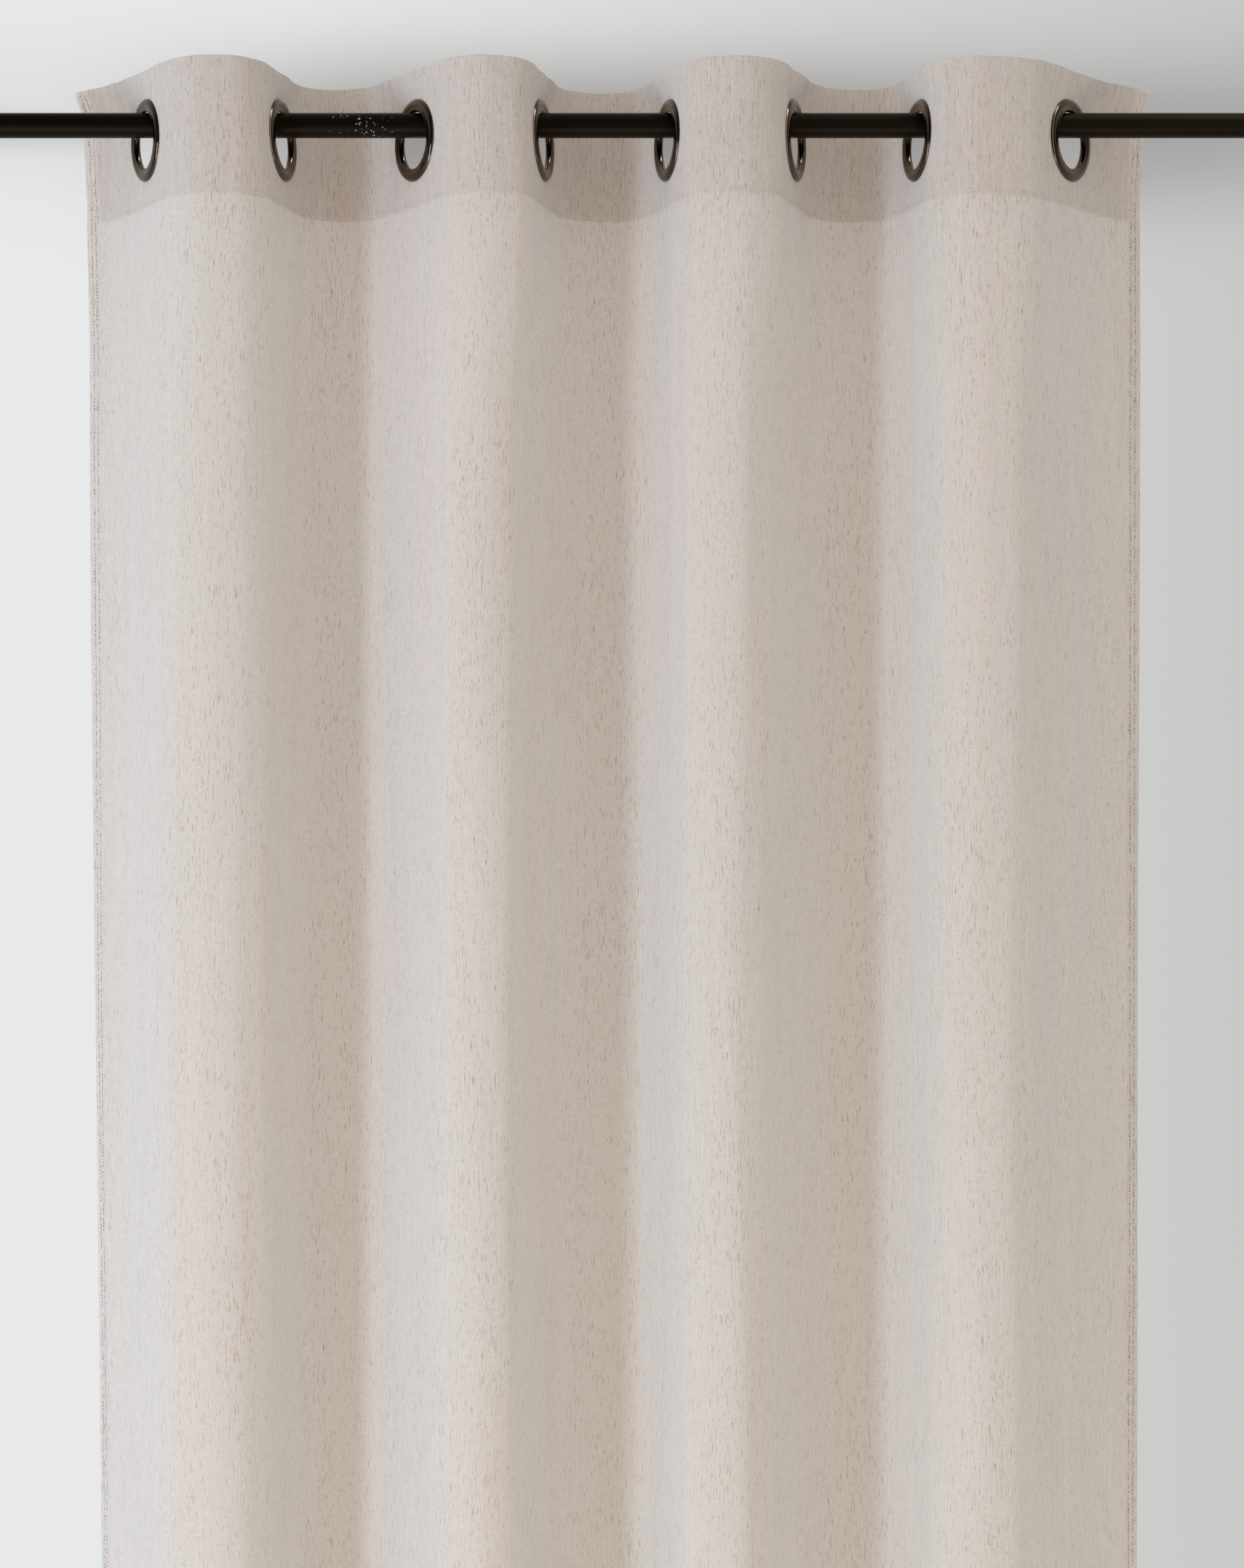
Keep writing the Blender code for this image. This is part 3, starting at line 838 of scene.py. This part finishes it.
def stitchRun(name, s, drop, alongS, alongDrop, material):
    # one short arched tube for each stitch: five stations along it, five points round it, ends closed
    size = stitch["thread"] * np.array(stitch["ends"])
    count = len(size)
    t = np.linspace(-0.5, 0.5, count)
    around = 2 * math.pi * np.arange(count) / count
    arch = stitch["thread"] * (1 - 4 * t ** 2) + stitch["arch"]
    runS = s[:, None, None] + stitch["length"] * t[:, None] * alongS
    runDrop = drop[:, None, None] + stitch["length"] * t[:, None] * alongDrop
    sideways = size[:, None] * np.cos(around)
    height = arch[:, None] + size[:, None] * np.sin(around)
    points = onCloth(
        runS + sideways * alongDrop, runDrop - sideways * alongS,
        panel["foldRadius"] + height + 0 * runS)
    block = gridFaces(count, count, False, True).reshape(-1, 4)
    start = count ** 2 * np.arange(len(s))[:, None, None]
    sides = (block[:, ::-1] + start).reshape(-1, 4)
    ring = np.arange(count)
    caps = (np.stack([ring, count ** 2 - 1 - ring]) + start).reshape(-1, count)
    obj = meshObject(name, points.reshape(-1, 3), sides.tolist() + caps.tolist())
    obj.data.materials.append(material)
    return obj


def buildStitches():
    # two rows down each side hem, the second staggered, and one row across each of the two hems
    down = np.arange(stitch["topInset"], curtain["drop"] - stitch["bottomInset"], stitch["pitch"])
    runs = []
    for name, edge, sign in (("leftHemStitches", 0.0, 1), ("rightHemStitches", curtain["width"], -1)):
        s = np.concatenate([np.full(len(down), edge + sign * inset) for inset in stitch["sideRows"]])
        drop = np.concatenate([down, down + stitch["stagger"] * stitch["pitch"]])
        runs.append(stitchRun(name, s, drop, 0, 1, brownThread))
    across = np.arange(stitch["sideInset"], curtain["width"] - stitch["sideInset"], stitch["pitch"])
    facingRow = curtain["facingDepth"] - stitch["hemInset"]
    hemRow = curtain["drop"] - panel["bottomHem"] + stitch["hemInset"]
    for name, drop in (("facingStitches", facingRow), ("bottomHemStitches", hemRow)):
        runs.append(stitchRun(name, across, np.full(len(across), drop), 1, 0, paleThread))
    return runs


stitching = buildStitches()
print("stitches:", sum(len(run.data.polygons) for run in stitching), "faces")


# Floor, light and camera

floor = {
    "z": -2.4640,
    "size": 6.0,
    "cloudMm": 500.0,
    "dark": "#d9d9d8",
    "light": "#e0e0df",
}


def paleScreed():
    # smooth cement screed, trowelled and painted matt: even light grey with a trace of cloudiness
    material, tree = newMaterial("painted smooth screed")
    place = addNode(tree, "ShaderNodeTexCoord")
    cloud = addNode(
        tree, "ShaderNodeTexNoise", {"Scale": 1000 / floor["cloudMm"], "Detail": 3.0},
        {"Vector": place.outputs["Object"]})
    shade = addNode(
        tree, "ShaderNodeMix",
        {"data_type": "RGBA", 6: linear(floor["dark"]), 7: linear(floor["light"])},
        {0: cloud.outputs["Fac"]})
    paint = addNode(
        tree, "ShaderNodeBsdfPrincipled", {"Roughness": 0.8}, {"Base Color": shade.outputs[2]})
    addNode(tree, "ShaderNodeOutputMaterial", {}, {"Surface": paint.outputs[0]})
    return material


def buildFloor():
    # one square, level, round the origin
    half = floor["size"] / 2
    corners = np.array([(-half, -half), (half, -half), (half, half), (-half, half)])
    points = np.concatenate([corners, np.full((4, 1), floor["z"])], axis=1)
    obj = meshObject("floor", points, [(0, 1, 2, 3)], smooth=False)
    obj.data.materials.append(paleScreed())
    return obj


ground = buildFloor()

camera = {
    "place": (0.0113, -2.61, -0.531),
    "lens": 74.3,
    "longSide": 36.0,
}


def buildCamera():
    # level, and looking straight along Y
    data = bpy.data.cameras.new("camera")
    data.lens = camera["lens"]
    data.sensor_width = camera["longSide"]
    obj = bpy.data.objects.new("camera", data)
    obj.location = camera["place"]
    obj.rotation_euler = (math.radians(90), 0, 0)
    bpy.context.scene.collection.objects.link(obj)
    bpy.context.scene.camera = obj


buildCamera()

studio = {
    "keyAngle": 39.0,  # degrees to the left of the camera's line
    "keyDistance": 3.1,
    "keyHeight": -1.7,
    "keySize": (0.37, 2.4),
    "keyPower": 49.0,
    "keyColour": "#c6dfff",
    "lowPlace": (0.0, -1.7, -2.3),  # a wide soft light near the floor, turned up to the curtain
    "lowTilt": 125.0,
    "lowSize": (2.6, 0.9),
    "lowPower": 15.5,
    "lowColour": "#fff7dc",
    # a place in the room is a direction from the camera: X across, Y away from it, Z up
    "paleLeft": "#e8e9e9",
    "paleRight": "#c6c6c4",
    "paleAcross": (-0.10, 0.21),  # where the backdrop's left tone ends and its right tone starts
    # soft shades on the backdrop: share of light lost in the middle, height of the middle and reach up
    # and down, its place across and reach to both sides
    "shades": (
        (0.09, 0.200, 0.022, 0.00, 10.0),
        (0.24, 0.1945, 0.0050, -0.20, 0.05),
        (0.25, 0.193, 0.022, 0.17, 0.06),
    ),
    "behind": 0.60,  # most of all it is shaded behind the heading, with brown light off the cloth
    "behindColour": "#4a3318",
    "behindHeight": (0.194, 0.024),
    "behindLeft": (-0.18, -0.06),
    "behindRight": (0.19, 0.04),
    "roomFront": 0.75,  # soft light from the room before the curtain, and from behind it
    "roomBack": 0.48,
    "roomTurn": 0.2,  # how far to both sides of straight across the one passes into the other
    "roomLeft": 1.18,  # the room is a little brighter on the left than on the right
    "roomRight": 0.82,
    "tallLight": 60.0,  # how much brighter a tall light is than the room that gloss mirrors
    "tallLightPlace": (0.38, 0.12),  # its middle and reach across
    "tallLightFade": 0.1,  # it is at its full strength this far in front of straight across
    "mirrorFront": "#3a3835",  # what gloss mirrors before the rod, and behind it
    "mirrorBack": "#c2beb8",
    "mirrorAway": (-0.5, 0.6),
}


def buildLight(name, place, turn, size, power, colour):
    # a soft rectangular light that the camera doesn't see
    data = bpy.data.lights.new(name, "AREA")
    data.shape = "RECTANGLE"
    data.size, data.size_y = size
    data.energy = power
    data.color = linear(colour)[:3]
    obj = bpy.data.objects.new(name, data)
    obj.location = place
    obj.rotation_euler = turn
    obj.visible_camera = False
    bpy.context.scene.collection.objects.link(obj)


def buildLights():
    # a strip softbox that stands to the left of the camera, and a low wide one in front of the curtain
    angle, far = math.radians(studio["keyAngle"]), studio["keyDistance"]
    buildLight(
        "strip softbox", (-far * math.sin(angle), -far * math.cos(angle), studio["keyHeight"]),
        (math.radians(90), 0, -angle), studio["keySize"], studio["keyPower"], studio["keyColour"])
    buildLight(
        "low softbox", studio["lowPlace"], (math.radians(studio["lowTilt"]), 0, 0), studio["lowSize"],
        studio["lowPower"], studio["lowColour"])


def bell(tree, source, middle, reach):
    # a bell: 1 at the middle, and e to the power of minus the square of the distance in reaches beside it
    offset = addNode(
        tree, "ShaderNodeMapRange", {"clamp": False, 1: middle, 2: middle + reach},
        {0: source}).outputs[0]
    square = addNode(tree, "ShaderNodeMath", {"operation": "MULTIPLY"}, {0: offset, 1: offset})
    power = addNode(
        tree, "ShaderNodeMath", {"operation": "POWER", 0: math.exp(-1)}, {1: square.outputs[0]})
    return power.outputs[0]


def seenBackdrop(tree, x, z):
    # a pale backdrop that darkens softly to the right, browner and darker behind the heading, less a
    # few soft shades
    low, high = studio["paleAcross"]
    across = addNode(tree, "ShaderNodeMapRange", {1: low, 2: high}, {0: x})
    pale = addNode(
        tree, "ShaderNodeMix",
        {"data_type": "RGBA", 6: linear(studio["paleLeft"]), 7: linear(studio["paleRight"])},
        {0: across.outputs[0]})
    # behind the heading: a share that rises at its left end and falls at its right, times a bell over Z
    behind = bell(tree, z, *studio["behindHeight"])
    for (low, high), full in ((studio["behindLeft"], studio["behind"]), (studio["behindRight"], 1.0)):
        end = addNode(
            tree, "ShaderNodeMapRange",
            {"interpolation_type": "SMOOTHSTEP", 1: low, 2: high, 4: full}, {0: x})
        behind = addNode(
            tree, "ShaderNodeMath", {"operation": "MULTIPLY"}, {0: behind, 1: end.outputs[0]}).outputs[0]
    shaded = addNode(
        tree, "ShaderNodeMix", {"data_type": "RGBA", 7: linear(studio["behindColour"])},
        {0: behind, 6: pale.outputs[2]})
    light = addNode(tree, "ShaderNodeValue")
    light.outputs[0].default_value = 1.0
    for share, height, reachUp, middle, reachSide in studio["shades"]:
        spot = addNode(
            tree, "ShaderNodeMath", {"operation": "MULTIPLY"},
            {0: bell(tree, z, height, reachUp), 1: bell(tree, x, middle, reachSide)})
        light = addNode(
            tree, "ShaderNodeMath", {"operation": "MULTIPLY_ADD", 1: -share},
            {0: spot.outputs[0], 2: light.outputs[0]})
    return addNode(
        tree, "ShaderNodeBackground", {}, {"Color": shaded.outputs[2], "Strength": light.outputs[0]})


def litRoom(tree, x, y):
    # white light from all round, brighter in front than behind and on the left than on the right
    turn = studio["roomTurn"]
    side = addNode(
        tree, "ShaderNodeMapRange", {1: -turn, 2: turn, 3: studio["roomFront"], 4: studio["roomBack"]},
        {0: y})
    slope = addNode(
        tree, "ShaderNodeMapRange", {1: -1.0, 2: 1.0, 3: studio["roomLeft"], 4: studio["roomRight"]},
        {0: x})
    level = addNode(
        tree, "ShaderNodeMath", {"operation": "MULTIPLY"}, {0: side.outputs[0], 1: slope.outputs[0]})
    return addNode(
        tree, "ShaderNodeBackground", {"Color": (1, 1, 1, 1)}, {"Strength": level.outputs[0]})


def mirroredRoom(tree, x, y):
    # a dim room in front and a paler one behind, with a tall bright light to the right of the camera
    low, high = studio["mirrorAway"]
    away = addNode(tree, "ShaderNodeMapRange", {1: low, 2: high}, {0: y})
    dim = addNode(
        tree, "ShaderNodeMix",
        {"data_type": "RGBA", 6: linear(studio["mirrorFront"]), 7: linear(studio["mirrorBack"])},
        {0: away.outputs[0]})
    tall = bell(tree, x, *studio["tallLightPlace"])
    inFront = addNode(
        tree, "ShaderNodeMapRange", {1: 0.0, 2: -studio["tallLightFade"], 4: studio["tallLight"]},
        {0: y})
    shine = addNode(
        tree, "ShaderNodeMath", {"operation": "MULTIPLY_ADD", 2: 1.0},
        {0: tall, 1: inFront.outputs[0]})
    return addNode(
        tree, "ShaderNodeBackground", {}, {"Color": dim.outputs[2], "Strength": shine.outputs[0]})


def buildWorld():
    # the eye sees the pale backdrop, gloss mirrors the dim room, and the soft pale one lights the rest
    world = bpy.data.worlds.new("pale room")
    bpy.context.scene.world = world
    world.use_nodes = True
    tree = world.node_tree
    tree.nodes.clear()
    place = addNode(tree, "ShaderNodeTexCoord")
    parts = addNode(tree, "ShaderNodeSeparateXYZ", {}, {0: place.outputs["Generated"]})
    x, y, z = parts.outputs
    ray = addNode(tree, "ShaderNodeLightPath")
    light = litRoom(tree, x, y)
    mirrored, seen = mirroredRoom(tree, x, y), seenBackdrop(tree, x, z)
    for kind, special in (("Is Glossy Ray", mirrored), ("Is Camera Ray", seen)):
        light = addNode(
            tree, "ShaderNodeMixShader", {},
            {0: ray.outputs[kind], 1: light.outputs[0], 2: special.outputs[0]})
    addNode(tree, "ShaderNodeOutputWorld", {}, {"Surface": light.outputs[0]})


buildLights()
buildWorld()
bpy.context.scene.view_settings.view_transform = "Standard"
print("studio: built")


# What each piece stands for

everyPiece = [voilePanel, facingStrip, curtainRod, *rings, *stitching]
for piece in everyPiece:
    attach(piece, "root")
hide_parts("panel")
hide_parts("heading")
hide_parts("rod")
for i, ring in enumerate(rings):
    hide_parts(f"eyelet_{i + 1}")
